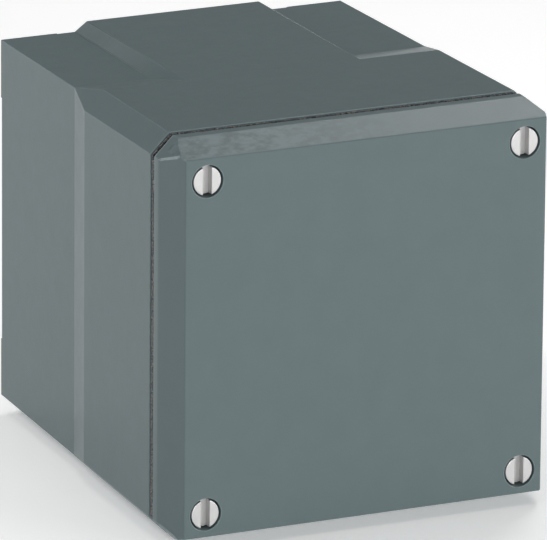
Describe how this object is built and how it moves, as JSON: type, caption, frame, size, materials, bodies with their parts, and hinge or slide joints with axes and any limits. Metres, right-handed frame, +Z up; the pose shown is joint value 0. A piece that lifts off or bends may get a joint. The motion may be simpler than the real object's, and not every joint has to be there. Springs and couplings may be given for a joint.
{
  "type": "magnetic motor starter",
  "caption": "Enclosed magnetic motor starter: a contactor and an overload relay on a rail in a moulded box whose blank front cover is held by slotted corner screws.",
  "frame": {"origin": "on the surface that the box stands on, under the middle of its overall depth and width", "axes": "+X to the right as seen from the front, +Y from the front cover towards the wall behind the box, +Z up"},
  "size_m": [0.15, 0.173, 0.15],
  "materials": {
    "enclosure_plastic": "moulded, blue-grey, finely textured",
    "gasket_rubber": "black closed-cell seal",
    "plated_steel": "zinc plated, turned",
    "rail_steel": "zinc plated, rolled",
    "brass": "plain",
    "copper": "copper",
    "housing_plastic": "black moulding",
    "cover_plastic": "light grey moulding",
    "carrier_plastic": "red-brown moulding",
    "bobbin_plastic": "natural glass-filled",
    "lamination_steel": "stacked laminations",
    "spring_steel": "drawn wire",
    "dial_plastic": "cream moulding",
    "reset_plastic": "blue",
    "stop_plastic": "red",
    "wire_insulation": "black PVC insulation"
  },
  "bodies": {
    "root": {"enclosure_base": "enclosure_plastic", "cover_gasket": "gasket_rubber", "din_rail": "rail_steel", "rail_screw_1": "plated_steel", "rail_screw_2": "plated_steel", "earth_bar": "brass", "earth_screw": "plated_steel", "contactor_base": "housing_plastic", "contactor_housing": "housing_plastic", "arc_cover": "cover_plastic", "coil_bobbin": "bobbin_plastic", "coil_winding": "copper", "magnet_core": "lamination_steel", "shading_ring_1": "copper", "shading_ring_2": "copper", "coil_terminal_1": "brass", "coil_terminal_2": "brass", "coil_screw_1": "plated_steel", "coil_screw_2": "plated_steel", "return_spring_1": "spring_steel", "return_spring_2": "spring_steel", "relay_housing": "housing_plastic", "relay_panel": "cover_plastic", "coil_link_wire": "wire_insulation", "line_contact_1": "brass", "load_contact_1": "brass", "line_screw_1": "plated_steel", "load_screw_1": "plated_steel", "heater_strip_1": "copper", "relay_screw_1": "plated_steel", "line_contact_2": "brass", "load_contact_2": "brass", "line_screw_2": "plated_steel", "load_screw_2": "plated_steel", "heater_strip_2": "copper", "relay_screw_2": "plated_steel", "line_contact_3": "brass", "load_contact_3": "brass", "line_screw_3": "plated_steel", "load_screw_3": "plated_steel", "heater_strip_3": "copper", "relay_screw_3": "plated_steel"},
    "cover": {"cover": "enclosure_plastic"},
    "cover_screw_1": {"cover_screw_1": "plated_steel"},
    "cover_screw_2": {"cover_screw_2": "plated_steel"},
    "cover_screw_3": {"cover_screw_3": "plated_steel"},
    "cover_screw_4": {"cover_screw_4": "plated_steel"},
    "contact_carrier": {"contact_carrier": "carrier_plastic", "armature": "lamination_steel", "contact_bridge_1": "copper", "contact_bridge_2": "copper", "contact_bridge_3": "copper", "contact_spring_1": "spring_steel", "contact_spring_2": "spring_steel", "contact_spring_3": "spring_steel"},
    "setting_dial": {"setting_dial": "dial_plastic"},
    "reset_button": {"reset_button": "reset_plastic"},
    "stop_button": {"stop_button": "stop_plastic"},
    "trip_bar": {"trip_bar": "carrier_plastic"},
    "trip_lever": {"trip_lever": "dial_plastic"}
  },
  "joints": [
    {"name": "cover_lift_off", "type": "slide", "parent": "root", "child": "cover", "axis": [0, -1, 0], "range_m": [0, 0.12]},
    {"name": "cover_screw_1_turn", "type": "hinge", "parent": "cover", "child": "cover_screw_1", "pos_m": [-0.062, -0.0861, 0.013], "axis": [0, 1, 0], "continuous": true},
    {"name": "cover_screw_2_turn", "type": "hinge", "parent": "cover", "child": "cover_screw_2", "pos_m": [-0.062, -0.0861, 0.137], "axis": [0, 1, 0], "continuous": true},
    {"name": "cover_screw_3_turn", "type": "hinge", "parent": "cover", "child": "cover_screw_3", "pos_m": [0.062, -0.0861, 0.013], "axis": [0, 1, 0], "continuous": true},
    {"name": "cover_screw_4_turn", "type": "hinge", "parent": "cover", "child": "cover_screw_4", "pos_m": [0.062, -0.0861, 0.137], "axis": [0, 1, 0], "continuous": true},
    {"name": "carrier_slide", "type": "slide", "parent": "root", "child": "contact_carrier", "axis": [0, 1, 0], "range_m": [0, 0.0036], "stiffness_N_per_m": 400, "springref_m": -0.008, "deforming": ["return_spring_1", "return_spring_2"]},
    {"name": "setting_dial_turn", "type": "hinge", "parent": "root", "child": "setting_dial", "pos_m": [-0.01, -0.0225, 0.047], "axis": [0, 1, 0], "range_deg": [-135, 135]},
    {"name": "reset_button_press", "type": "slide", "parent": "root", "child": "reset_button", "axis": [0, 1, 0], "range_m": [0, 0.0025], "stiffness_N_per_m": 300, "springref_m": -0.004},
    {"name": "stop_button_press", "type": "slide", "parent": "root", "child": "stop_button", "axis": [0, 1, 0], "range_m": [0, 0.0025], "stiffness_N_per_m": 300, "springref_m": -0.004},
    {"name": "trip_bar_slide", "type": "slide", "parent": "root", "child": "trip_bar", "axis": [1, 0, 0], "range_m": [0, 0.002], "stiffness_N_per_m": 100, "springref_m": -0.004},
    {"name": "trip_lever_turn", "type": "hinge", "parent": "root", "child": "trip_lever", "pos_m": [0, 0.013, 0.041], "axis": [0, 1, 0], "range_deg": [0, 10]}
  ],
  "couplings": [
    {"joint": "trip_lever_turn", "follows": "trip_bar_slide", "rad_per_m": 83.333}
  ]
}
